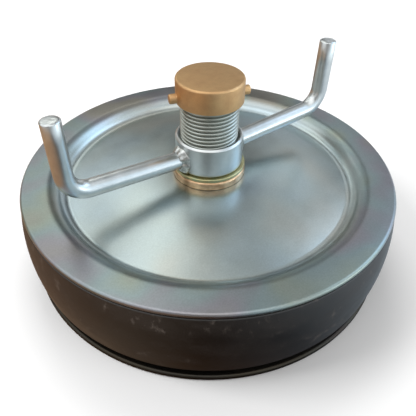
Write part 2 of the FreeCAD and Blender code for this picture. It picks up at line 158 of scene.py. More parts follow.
@dataclass(frozen=True)
class Surface:
    """Node tree of one material while it is being built."""

    material: bpy.types.Material
    tree: bpy.types.NodeTree
    shader: bpy.types.Node
    place: bpy.types.NodeSocket

    @classmethod
    def start(cls, name: str) -> "Surface":
        """Begin a material with a shader and the place on the object in metres.

        Args:
            name: Name of the material.

        Returns:
            The surface, ready for its textures.
        """
        material = bpy.data.materials.new(name)
        material.use_nodes = True
        tree = material.node_tree
        tree.nodes.clear()
        shader = add_node(tree, "ShaderNodeBsdfPrincipled")
        add_node(tree, "ShaderNodeOutputMaterial", {"Surface": shader.outputs["BSDF"]})
        place = add_node(tree, "ShaderNodeTexCoord").outputs["Object"]
        return cls(material, tree, shader, place)

    def grain(self, size_mm: float, detail: float = 3.0, stretch: Sequence[float] = (1, 1, 1),
              roughness: float = 0.55) -> bpy.types.NodeSocket:
        """Noise whose features have a real size.

        Args:
            size_mm: Width of one feature.
            detail: Number of finer octaves.
            stretch: Scale of the pattern along each axis.
            roughness: Strength of the finer octaves.

        Returns:
            Noise value from zero to one.
        """
        mapping = add_node(self.tree, "ShaderNodeMapping",
                           {"Vector": self.place, "Scale": tuple(stretch)})
        texture = add_node(self.tree, "ShaderNodeTexNoise", {
            "Vector": mapping.outputs["Vector"],
            "Scale": 1.0 / (size_mm * MM),
            "Detail": detail,
            "Roughness": roughness,
        })
        return texture.outputs["Fac"]

    def spread(self, source: bpy.types.NodeSocket, low: float, high: float,
               start: float = 0.0, end: float = 1.0) -> bpy.types.NodeSocket:
        """Map a value onto a range.

        Args:
            source: Value to map.
            low: Result at the start value.
            high: Result at the end value.
            start: Source value that gives low.
            end: Source value that gives high.

        Returns:
            The mapped value.
        """
        node = add_node(self.tree, "ShaderNodeMapRange", {
            "Value": source, "From Min": start, "From Max": end,
            "To Min": low, "To Max": high,
        })
        return node.outputs["Result"]

    def vary(self, noise_value: bpy.types.NodeSocket, low: float,
             high: float) -> bpy.types.NodeSocket:
        """Map a noise onto a range that its middle values fill."""
        return self.spread(noise_value, low, high, 0.3, 0.7)

    def tones(self, source: bpy.types.NodeSocket,
              stops: Sequence[tuple[float, str]]) -> bpy.types.NodeSocket:
        """Colour a value through a ramp of sRGB stops."""
        return ramp(add_node(self.tree, "ShaderNodeValToRGB", {"Fac": source}), stops)

    def mix(self, factor: Any, first: Any, second: Any,
            blend: str = "MIX") -> bpy.types.NodeSocket:
        """Blend two colours.

        Args:
            factor: Share of the second colour.
            first: First colour or socket.
            second: Second colour or socket.
            blend: Blender's name of the blend mode.

        Returns:
            The blended colour.
        """
        node = add_node(self.tree, "ShaderNodeMix",
                        {0: factor, 6: first, 7: second}, data_type="RGBA", blend_type=blend)
        return node.outputs[2]

    def shaded(self, colour: bpy.types.NodeSocket,
               shade: bpy.types.NodeSocket) -> bpy.types.NodeSocket:
        """Darken or lighten a colour by a grey value."""
        grey = add_node(self.tree, "ShaderNodeCombineColor", {0: shade, 1: shade, 2: shade})
        return self.mix(1.0, colour, grey.outputs[0], "MULTIPLY")

    def calc(self, operation: str, *values: Any) -> bpy.types.NodeSocket:
        """Calculate with values or sockets by one of the maths operations."""
        node = add_node(self.tree, "ShaderNodeMath", dict(enumerate(values)),
                        operation=operation)
        return node.outputs[0]

    def radius(self) -> bpy.types.NodeSocket:
        """Distance from the plug's centre line in metres."""
        flat = add_node(self.tree, "ShaderNodeVectorMath",
                        {0: self.place, 1: (1.0, 1.0, 0.0)}, operation="MULTIPLY")
        length = add_node(self.tree, "ShaderNodeVectorMath", {0: flat.outputs["Vector"]},
                          operation="LENGTH")
        return length.outputs["Value"]

    def relief(self, layers: Iterable[tuple[bpy.types.NodeSocket, float]]) -> None:
        """Stack bumps on the shader's normal.

        Args:
            layers: Height pattern and its depth in millimetres, coarse ones first.
        """
        normal = None
        for pattern, depth_mm in layers:
            inputs: dict[str | int, Any] = {"Height": pattern, "Distance": depth_mm * MM,
                                            "Strength": 1.0}
            if normal is not None:
                inputs["Normal"] = normal
            normal = add_node(self.tree, "ShaderNodeBump", inputs).outputs["Normal"]
        if normal is not None:
            self.tree.links.new(normal, self.shader.inputs["Normal"])

    def dress(self, **inputs: Any) -> bpy.types.Material:
        """Set the shader's inputs, whose names have spaces for underscores.

        Args:
            inputs: Value or socket of each input.

        Returns:
            The finished material.
        """
        for name, source in inputs.items():
            socket = self.shader.inputs[name.replace("_", " ")]
            if isinstance(source, bpy.types.NodeSocket):
                self.tree.links.new(source, socket)
            else:
                socket.default_value = source
        return self.material

    def glow(self, colour: bpy.types.NodeSocket) -> bpy.types.Material:
        """Finish the material as plain light of a colour, in place of the shader."""
        self.tree.nodes.remove(self.shader)
        light = add_node(self.tree, "ShaderNodeEmission", {"Color": colour, "Strength": 1.0})
        output = next(node for node in self.tree.nodes if node.type == "OUTPUT_MATERIAL")
        self.tree.links.new(light.outputs[0], output.inputs["Surface"])
        return self.material


# Finishes


@dataclass(frozen=True)
class PassivatedZincSheet:
    """Zinc plated, blue passivated steel sheet, cold rolled and pressed.

    The plating is satin, so lamps smear into soft glows. The passivation is a thin film, which
    drifts between steel blue, grey green and straw. On the flange it keeps these tints but is
    coloured darker and browner than on the floor, as painted shade. Past a set radius the rim is
    painted dark brown: painted shade under the rubber ring and a painted reflection of the dark
    bench. With the default radius this band lies outside the plate.
    """

    name: str = "passivated_zinc_sheet"
    cool: str = "#A7B5BA"
    neutral: str = "#ABB6B5"
    straw: str = "#B1B4AE"
    # Flange tones: the film's tints made darker and browner than the floor's, as painted shade
    shaded_flange_green: str = "#8B948C"
    shaded_flange_blue: str = "#869394"
    shaded_flange_brown: str = "#8F8C84"
    shaded_flange_violet: str = "#8A898E"
    drift_mm: float = 60.0
    cloud_mm: float = 11.0
    grain_mm: float = 0.8
    flange_start_mm: float = 88.0
    flange_end_mm: float = 93.0
    wave_mm: float = 38.0
    wave_depth_mm: float = 0.1
    roughness: float = 0.295
    flange_roughness: float = 0.35
    # Painted shade and painted reflection: dark brown over the rim, for the shade under the rubber
    # ring and the dark bench
    rim_shade: str = "#2A2118"
    rim_shade_start_mm: float = 200.0
    rim_shade_fade_mm: float = 3.0
    rim_shade_cover: float = 0.93

    def make(self) -> bpy.types.Material:
        """Build the material."""
        surface = Surface.start(self.name)
        film = surface.grain(self.drift_mm, detail=2.0)
        floor = surface.tones(film, [(0.36, self.cool), (0.5, self.neutral), (0.66, self.straw)])
        # The flange is coloured darker and browner than the floor: painted shade
        flange = surface.tones(film, [(0.34, self.shaded_flange_brown), (0.44, self.shaded_flange_green),
                                      (0.52, self.shaded_flange_blue), (0.6, self.shaded_flange_violet),
                                      (0.7, self.shaded_flange_brown)])
        share = surface.spread(surface.radius(), 0.0, 1.0, self.flange_start_mm * MM,
                               self.flange_end_mm * MM)
        colour = surface.mix(share, floor, flange)
        # Painted shade and painted reflection: dark brown over the rim past the start radius
        rim_shade_share = surface.spread(surface.radius(), 0.0, self.rim_shade_cover, self.rim_shade_start_mm * MM,
                              (self.rim_shade_start_mm + self.rim_shade_fade_mm) * MM)
        colour = surface.mix(rim_shade_share, colour, srgb(self.rim_shade))
        cloud = surface.grain(self.cloud_mm, detail=4.0)
        # Crystals of the plating are finer than this, drawn coarser so that they show
        spangle = surface.grain(self.grain_mm, detail=3.0)
        shade = surface.calc("ADD", surface.vary(cloud, -0.04, 0.04),
                             surface.vary(spangle, 0.93, 1.07))
        colour = surface.shaded(colour, shade)
        wear = surface.spread(share, self.roughness, self.flange_roughness)
        rough = surface.calc("ADD", wear, surface.vary(cloud, -0.01, 0.03))
        surface.relief([(surface.grain(self.wave_mm, detail=1.0), self.wave_depth_mm)])
        return surface.dress(Base_Color=colour, Metallic=1.0, Roughness=rough)


@dataclass(frozen=True)
class BrightZincBar:
    """Bright zinc plated drawn bar and pipe socket.

    Lamps show as bright soft streaks along it, which shallow dents make a little uneven.
    """

    light: str = "#C9CDCD"
    dull: str = "#B6BBBB"
    cloud_mm: float = 9.0
    speck_mm: float = 0.6
    dent_mm: float = 6.0
    dent_depth_mm: float = 0.04
    roughness: float = 0.28

    def make(self) -> bpy.types.Material:
        """Build the material."""
        surface = Surface.start("bright_zinc_bar")
        cloud = surface.grain(self.cloud_mm, detail=4.0)
        colour = surface.tones(cloud, [(0.3, self.dull), (0.7, self.light)])
        speck = surface.grain(self.speck_mm, detail=3.0, roughness=0.7)
        rough = surface.calc("ADD", surface.vary(cloud, 0.0, 0.03),
                             surface.spread(speck, self.roughness, self.roughness + 0.02))
        surface.relief([(surface.grain(self.dent_mm, detail=1.0), self.dent_depth_mm)])
        return surface.dress(Base_Color=colour, Metallic=1.0, Roughness=rough)


@dataclass(frozen=True)
class CutZincThread:
    """Zinc plated thread cut on steel pipe.

    The nut polished the crests, so they glint, and the roots stay dull and darker.
    """

    crest: str = "#A9AEA8"
    root: str = "#989C93"
    root_mm: float = 15.2
    crest_mm: float = 16.6
    cloud_mm: float = 3.0
    tear_mm: float = 0.5
    tear_depth_mm: float = 0.01
    roughness: float = 0.31
    root_dulling: float = 0.16

    def make(self) -> bpy.types.Material:
        """Build the material."""
        surface = Surface.start("cut_zinc_thread")
        depth = surface.spread(surface.radius(), 0.0, 1.0, self.root_mm * MM, self.crest_mm * MM)
        cloud = surface.grain(self.cloud_mm, detail=4.0)
        share = surface.calc("ADD", depth, surface.vary(cloud, -0.18, 0.18))
        colour = surface.tones(share, [(0.0, self.root), (0.75, self.crest)])
        rough = surface.spread(share, self.roughness + self.root_dulling, self.roughness)
        surface.relief([(surface.grain(self.tear_mm, detail=3.0), self.tear_depth_mm)])
        return surface.dress(Base_Color=colour, Metallic=1.0, Roughness=rough)


@dataclass(frozen=True)
class PlatedWeldBead:
    """Zinc plated weld metal.

    It looks lumpy. Painted shade darkens the hollows of its lumps, and its ripples are lighter and
    smoother.
    """

    light: str = "#C2C5C3"
    # Painted shade for the hollows of the lumps
    dark: str = "#8C8F8B"
    lump_mm: float = 1.6
    lump_depth_mm: float = 0.05
    roughness: float = 0.29

    def make(self) -> bpy.types.Material:
        """Build the material."""
        surface = Surface.start("plated_weld_bead")
        lump = surface.grain(self.lump_mm, detail=4.0)
        # Colour follows the lumps: painted shade in their hollows, lighter on top
        colour = surface.tones(lump, [(0.32, self.dark), (0.6, self.light)])
        rough = surface.vary(lump, self.roughness + 0.06, self.roughness)
        surface.relief([(lump, self.lump_depth_mm)])
        return surface.dress(Base_Color=colour, Metallic=1.0, Roughness=rough)


@dataclass(frozen=True)
class TurnedCopperRing:
    """Turned copper alloy ring.

    It glows warm and smooth, with turning lines round it and slight brown tarnish.
    """

    bright: str = "#DDBB96"
    tarnish: str = "#B08D6C"
    cloud_mm: float = 6.0
    line_mm: float = 0.4
    line_depth_mm: float = 0.01
    roughness: float = 0.285

    def make(self) -> bpy.types.Material:
        """Build the material."""
        surface = Surface.start("turned_copper_ring")
        cloud = surface.grain(self.cloud_mm, detail=4.0)
        colour = surface.tones(cloud, [(0.35, self.tarnish), (0.62, self.bright)])
        # Turning lines are about 0.15 mm apart, drawn coarser so that they show
        lines = surface.grain(self.line_mm, detail=2.0, stretch=(0.05, 0.05, 1.0))
        rough = surface.vary(cloud, self.roughness + 0.08, self.roughness)
        surface.relief([(lines, self.line_depth_mm)])
        return surface.dress(Base_Color=colour, Metallic=1.0, Roughness=rough)


@dataclass(frozen=True)
class YellowZinc:
    """Yellow passivated zinc on a blanked washer.

    The film shimmers in straw gold that shifts to green.
    """

    gold: str = "#B0A67C"
    green: str = "#969B79"
    film_mm: float = 7.0
    fine_mm: float = 0.5
    fine_depth_mm: float = 0.008
    roughness: float = 0.285

    def make(self) -> bpy.types.Material:
        """Build the material."""
        surface = Surface.start("yellow_zinc")
        film = surface.grain(self.film_mm, detail=3.0)
        colour = surface.tones(film, [(0.38, self.green), (0.6, self.gold)])
        fine = surface.grain(self.fine_mm, detail=3.0)
        rough = surface.spread(fine, self.roughness, self.roughness + 0.1)
        surface.relief([(fine, self.fine_depth_mm)])
        return surface.dress(Base_Color=colour, Metallic=1.0, Roughness=rough)


@dataclass(frozen=True)
class SatinCastBrass:
    """Cast and machined brass.

    It is tan with a soft, grainy sheen, no sharp highlights, and a little brown tarnish.
    """

    tan: str = "#CEA97A"
    brown: str = "#BA956B"
    cloud_mm: float = 8.0
    sand_mm: float = 0.55
    sand_depth_mm: float = 0.02
    roughness: float = 0.47

    def make(self) -> bpy.types.Material:
        """Build the material."""
        surface = Surface.start("satin_cast_brass")
        cloud = surface.grain(self.cloud_mm, detail=5.0)
        colour = surface.tones(cloud, [(0.33, self.brown), (0.66, self.tan)])
        sand = surface.grain(self.sand_mm, detail=4.0, roughness=0.7)
        shade = surface.vary(sand, 0.94, 1.05)
        colour = surface.shaded(colour, shade)
        rough = surface.vary(cloud, self.roughness + 0.08, self.roughness - 0.04)
        surface.relief([(sand, self.sand_depth_mm)])
        return surface.dress(Base_Color=colour, Metallic=1.0, Roughness=rough)


@dataclass(frozen=True)
class MouldedRubber:
    """Moulded natural rubber.

    It is black brown and half matt, with a grey bloom and pale scuffs from pipes.
    """

    body: str = "#0F0D0B"
    bloom: str = "#211C18"
    scuff: str = "#6A6058"
    cloud_mm: float = 32.0
    streak_mm: float = 5.0
    wave_mm: float = 20.0
    wave_depth_mm: float = 0.2
    skin_mm: float = 0.7
    skin_depth_mm: float = 0.012
    roughness: float = 0.4

    def make(self) -> bpy.types.Material:
        """Build the material."""
        surface = Surface.start("moulded_rubber")
        cloud = surface.grain(self.cloud_mm, detail=5.0, stretch=(1.0, 1.0, 2.2))
        colour = surface.tones(cloud, [(0.4, self.body), (0.72, self.bloom)])
        streak = surface.grain(self.streak_mm, detail=6.0, stretch=(1.0, 1.0, 0.6),
                               roughness=0.7)
        mask = surface.calc("MULTIPLY", surface.spread(streak, 0.0, 1.0, 0.56, 0.7),
                            surface.spread(cloud, 0.0, 0.55, 0.46, 0.6))
        colour = surface.mix(mask, colour, srgb(self.scuff))
        rough = surface.spread(cloud, self.roughness - 0.04, self.roughness + 0.12, 0.35, 0.7)
        wave = surface.grain(self.wave_mm, detail=1.0, stretch=(1, 1, 1.6))
        skin = surface.grain(self.skin_mm, detail=3.0)
        surface.relief([(wave, self.wave_depth_mm), (skin, self.skin_depth_mm)])
        return surface.dress(Base_Color=colour, Roughness=rough, IOR=RUBBER_IOR)


@dataclass(frozen=True)
class SealRubber:
    """Plain washer rubber, matt and nearly black."""

    body: str = "#1B1A19"
    bloom: str = "#2C2A28"
    fine_mm: float = 0.8
    fine_depth_mm: float = 0.02
    roughness: float = 0.6

    def make(self) -> bpy.types.Material:
        """Build the material."""
        surface = Surface.start("seal_rubber")
        fine = surface.grain(self.fine_mm, detail=3.0)
        colour = surface.tones(fine, [(0.3, self.body), (0.8, self.bloom)])
        surface.relief([(fine, self.fine_depth_mm)])
        return surface.dress(Base_Color=colour, Roughness=self.roughness, IOR=RUBBER_IOR)


# Mesh helpers


@dataclass(frozen=True)
class Corner:
    """Corner of a turned outline: radius from the centre line, height and rounding."""

    across: float
    up: float
    rounding: float = 0.0


def rounded(corners: Sequence[Corner], steps: int = 8) -> list[Point]:
    """Round the corners of a closed outline.

    Args:
        corners: Corners in order, in millimetres.
        steps: Segments of each rounding.

    Returns:
        Points of the outline, in millimetres.
    """
    points: list[Point] = []
    for index, corner in enumerate(corners):
        here = Vector((corner.across, corner.up))
        if corner.rounding <= 0.0:
            points.append((here.x, here.y))
            continue
        before = corners[index - 1]
        after = corners[(index + 1) % len(corners)]
        inward = (Vector((before.across, before.up)) - here).normalized()
        outward = (Vector((after.across, after.up)) - here).normalized()
        half = math.acos(max(-1.0, min(1.0, inward.dot(outward)))) / 2.0
        centre = here + (inward + outward).normalized() * (corner.rounding / math.sin(half))
        reach = corner.rounding / math.tan(half)
        first = here + inward * reach - centre
        last = here + outward * reach - centre
        sweep = math.atan2(first.x * last.y - first.y * last.x, first.dot(last))
        for step in range(steps + 1):
            turn = sweep * step / steps
            points.append((
                centre.x + first.x * math.cos(turn) - first.y * math.sin(turn),
                centre.y + first.x * math.sin(turn) + first.y * math.cos(turn),
            ))
    return points


def finish_mesh(name: str, mesh: bmesh.types.BMesh,
                sharp_deg: float = SHARP_DEG) -> bpy.types.Object:
    """Close a mesh's making: merge, turn the faces outwards, smooth and link it.

    Args:
        name: Name of the piece.
        mesh: Mesh in metres, freed here.
        sharp_deg: Edges sharper than this stay crisp.

    Returns:
        The piece.
    """
    bmesh.ops.remove_doubles(mesh, verts=mesh.verts, dist=MERGE_M)
    bmesh.ops.recalc_face_normals(mesh, faces=mesh.faces)
    data = bpy.data.meshes.new(name)
    mesh.to_mesh(data)
    mesh.free()
    data.shade_smooth()
    data.set_sharp_from_angle(angle=math.radians(sharp_deg))
    piece = bpy.data.objects.new(name, data)
    bpy.context.scene.collection.objects.link(piece)
    return piece


def grid_mesh(rows: Sequence[Sequence[Vector]], closed: bool) -> bmesh.types.BMesh:
    """Skin rows of points with quads; each row closes on itself.

    Args:
        rows: Rows of equally many points, in metres.
        closed: Whether the last row joins the first.

    Returns:
        The mesh.
    """
    mesh = bmesh.new()
    verts = [[mesh.verts.new(point) for point in row] for row in rows]
    pairs = len(rows) if closed else len(rows) - 1
    for index in range(pairs):
        lower, upper = verts[index], verts[(index + 1) % len(rows)]
        for step in range(len(lower)):
            following = (step + 1) % len(lower)
            mesh.faces.new((lower[step], lower[following], upper[following], upper[step]))
    return mesh


def spot(across: float, turn: float, up: float) -> Vector:
    """Point in metres at a radius, an angle and a height."""
    return Vector((across * math.cos(turn), across * math.sin(turn), up)) * MM


def turns(count: int) -> list[float]:
    """Angles of equal steps round a circle."""
    return [2.0 * math.pi * step / count for step in range(count)]


def lathe(name: str, outline: Sequence[Point], segments: int) -> bpy.types.Object:
    """Turn a closed outline about the centre line.

    Args:
        name: Name of the piece.
        outline: Points (radius, height) in millimetres.
        segments: Steps round the circle.

    Returns:
        The piece.
    """
    rows = [[spot(across, turn, up) for turn in turns(segments)] for across, up in outline]
    mesh = grid_mesh(rows, closed=True)
    bmesh.ops.remove_doubles(mesh, verts=mesh.verts, dist=MERGE_M)
    flat = [face for face in mesh.faces if face.calc_area() < FLAT_FACE_M2]
    bmesh.ops.delete(mesh, geom=flat, context="FACES")
    return finish_mesh(name, mesh)


def unite(piece: bpy.types.Object, other: bpy.types.Object) -> None:
    """Fuse another closed mesh into a piece and drop the other."""
    modifier = piece.modifiers.new("fuse", "BOOLEAN")
    modifier.operation = "UNION"
    modifier.solver = "EXACT"
    modifier.object = other
    graph = bpy.context.evaluated_depsgraph_get()
    data = bpy.data.meshes.new_from_object(piece.evaluated_get(graph))
    piece.modifiers.clear()
    piece.data = data
    bpy.data.objects.remove(other)
    data.shade_smooth()
    data.set_sharp_from_angle(angle=math.radians(SHARP_DEG))


def dress(piece: bpy.types.Object, material: bpy.types.Material, slot: Slot, body: Body,
          *nodes: str) -> bpy.types.Object:
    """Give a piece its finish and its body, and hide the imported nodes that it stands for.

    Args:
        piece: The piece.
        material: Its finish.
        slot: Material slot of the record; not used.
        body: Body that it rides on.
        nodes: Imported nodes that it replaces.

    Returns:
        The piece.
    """
    piece.data.materials.clear()
    piece.data.materials.append(material)
    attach(piece, body.value)
    if nodes:
        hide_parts(*nodes)
    LOG.info("%s: %d faces", piece.name, len(piece.data.polygons))
    return piece


# Sub-assemblies, sizes in millimetres


@dataclass
class PressedPlate:
    """Dished plate of pressed sheet; way is 1 with its flange face up, -1 with it down."""

    name: str
    node: str
    body: Body
    face: float
    way: int
    hole: float
    radius: float = 110.0
    gauge: float = 3.5
    flange: float = 18.5
    wall_run: float = 4.6
    dish_depth: float = 8.0
    seat_depth: float = 2.0
    seat_radius: float = 26.0
    crown_bend: float = 9.5
    foot_bend: float = 6.0
    edge_round: float = 1.7
    bore_round: float = 0.4
    dome_steps: int = 24
    segments: int = 320

    @property
    def rim(self) -> float:
        """Radius at which the flange turns down into the wall."""
        return self.radius - self.flange

    @property
    def shift(self) -> float:
        """Outward offset of the sheet's back, square to the slanting wall."""
        return self.gauge * math.tan(math.atan(self.dish_depth / self.wall_run) / 2.0)

    def dome(self, under: bool) -> list[Corner]:
        """Gently domed floor between the seat and the foot of the wall.

        Args:
            under: Whether the back of the sheet is meant.

        Returns:
            Corners from the seat's rim outwards, the last one rounded for the bend.
        """
        end = self.rim - self.wall_run + (self.shift if under else 0.0)
        drop = self.dish_depth - self.seat_depth
        run = end - self.seat_radius
        sweep = (run * run + drop * drop) / (2.0 * drop)
        corners = []
        for step in range(self.dome_steps + 1):
            across = self.seat_radius + run * step / self.dome_steps
            sag = sweep - math.sqrt(sweep * sweep - (across - self.seat_radius) ** 2)
            last = step == self.dome_steps
            rounding = (self.foot_bend + (self.gauge if under else 0.0)) if last else 0.0
            corners.append(self.at(across, self.seat_depth + sag, under, rounding))
        return corners

    def at(self, across: float, depth: float, under: bool, rounding: float = 0.0) -> Corner:
        """Corner at a depth below the flange face, on either side of the sheet."""
        total = depth + (self.gauge if under else 0.0)
        return Corner(across, self.face - self.way * total, rounding)

    def outline(self) -> list[Point]:
        """Closed section of the sheet."""
        return rounded([
            self.at(self.hole, self.seat_depth, False, self.bore_round),
            *self.dome(False),
            self.at(self.rim, 0.0, False, self.crown_bend),
            self.at(self.radius, 0.0, False, self.edge_round),
            self.at(self.radius, 0.0, True, self.edge_round),
            self.at(self.rim + self.shift, 0.0, True, self.crown_bend - self.gauge),
            *reversed(self.dome(True)),
            self.at(self.hole, self.seat_depth, True, self.bore_round),
        ])

    def build(self, finish: bpy.types.Material) -> bpy.types.Object:
        """Build and dress the plate."""
        piece = lathe(self.name, self.outline(), self.segments)
        return dress(piece, finish, Slot.ZINC_PLATE, self.body, self.node)


@dataclass
class SealingRing:
    """Rubber ring, swollen between the plates and bevelled at its lower corner."""

    plate_radius: float = 110.0
    foot: float = 3.5
    head: float = 51.5
    thickness: float = 13.5
    bulge: float = 2.3
    bevel_width: float = 4.0
    bevel_rise: float = 6.5
    travel: float = 6.9
    foot_round: float = 0.5
    shoulder_round: float = 1.0
    head_round: float = 0.8
    wall_steps: int = 40
    segments: int = 256

    def outline(self) -> list[Point]:
        """Closed section of the ring."""
        bore = self.plate_radius - self.thickness
        low = self.foot + self.bevel_rise
        half = (self.head - low) / 2.0
        sweep = (half * half + self.bulge * self.bulge) / (2.0 * self.bulge)
        wall = []
        for step in range(self.wall_steps + 1):
            up = low + 2.0 * half * step / self.wall_steps
            offset = math.sqrt(sweep * sweep - (up - low - half) ** 2) - sweep
            wall.append(Corner(self.plate_radius + self.bulge + offset, up))
        corners = [
            Corner(bore, self.foot),
            Corner(self.plate_radius - self.bevel_width, self.foot, self.foot_round),
            Corner(wall[0].across, wall[0].up, self.shoulder_round),
            *wall[1:-1],
            Corner(wall[-1].across, wall[-1].up, self.head_round),
            Corner(bore, self.head),
        ]
        return rounded(corners)

    def build(self, finish: bpy.types.Material) -> bpy.types.Object:
        """Build the ring, dress it and give it a mesh of its own."""
        piece = lathe("rubber_sealing_ring", self.outline(), self.segments)
        dress(piece, finish, Slot.RING_RUBBER, Body.BASE, "sealing_ring")
        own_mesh(piece)
        return piece


@dataclass
class ThreadedTube:
    """Hollow stem with a one inch parallel pipe thread."""

    crest: float = 16.6
    depth: float = 1.479
    pitch: float = 2.309
    bore: float = 13.6
    foot: float = 1.5
    top: float = 107.0
    thread_foot: float = 50.0
    chamfer: float = 0.9
    flank_share: float = 0.35
    steps_round: int = 112
    steps_in_pitch: int = 14

    def radius(self, turn: float, up: float) -> float:
        """Outer radius of the stem.

        Args:
            turn: Angle round the stem.
            up: Height.

        Returns:
            Radius in millimetres.
        """
        phase = (up - self.pitch * turn / (2.0 * math.pi)) / self.pitch
        wave = math.cos(2.0 * math.pi * phase)
        # Rounded crests and roots with straighter flanks between them
        flank = (math.sin(wave * math.pi / 2.0) * self.flank_share
                 + wave * (1.0 - self.flank_share))
        fade = min(1.0, max(0.0, (up - self.thread_foot) / self.pitch))
        cut = self.depth * (0.5 - 0.5 * flank) * fade
        lead = self.crest - max(0.0, self.chamfer - (self.top - up))
        return min(self.crest - cut, lead)

    def build(self, finish: bpy.types.Material) -> bpy.types.Object:
        """Build and dress the stem."""
        spacing = self.pitch / self.steps_in_pitch
        count = math.ceil((self.top - self.thread_foot) / spacing)
        heights = [self.foot, self.thread_foot - 1.0]
        heights += [self.thread_foot + (self.top - self.thread_foot) * i / count
                    for i in range(count + 1)]
        circle = turns(self.steps_round)
        rows = [[spot(self.radius(turn, up), turn, up) for turn in circle] for up in heights]
        rows += [[spot(self.bore, turn, up) for turn in circle] for up in (self.top, self.foot)]
        piece = finish_mesh("threaded_stem", grid_mesh(rows, closed=True), sharp_deg=60.0)
        return dress(piece, finish, Slot.ZINC_TUBE, Body.BASE, "centre_tube")


@dataclass
class ThrustStack:
    """Copper alloy friction ring and yellow zinc washer between plate and nut."""

    bore: float = 17.025
    ring_radius: float = 21.8
    ring_foot: float = 53.0
    ring_thickness: float = 5.0
    ring_round: float = 1.5
    ring_foot_round: float = 0.6
    washer_radius: float = 21.5
    washer_thickness: float = 2.1
    washer_round: float = 0.6
    bore_round: float = 0.3
    segments: int = 160

    def build(self, copper: bpy.types.Material, yellow: bpy.types.Material) -> None:
        """Build and dress both pieces."""
        washer_foot = self.ring_foot + self.ring_thickness
        for name, node, radius, foot, thick, rounding, low, finish, slot in (
            ("friction_ring_turned", "friction_ring", self.ring_radius, self.ring_foot,
             self.ring_thickness, self.ring_round, self.ring_foot_round, copper,
             Slot.RING_BRASS),
            ("thrust_washer_blanked", "thrust_washer", self.washer_radius, washer_foot,
             self.washer_thickness, self.washer_round, self.washer_round, yellow,
             Slot.YELLOW_ZINC),
        ):
            outline = rounded([
                Corner(self.bore, foot, self.bore_round),
                Corner(radius, foot, low),
                Corner(radius, foot + thick, rounding),
                Corner(self.bore, foot + thick, self.bore_round),
            ])
            dress(lathe(name, outline, self.segments), finish, slot, Body.PRESSURE_PLATE, node)


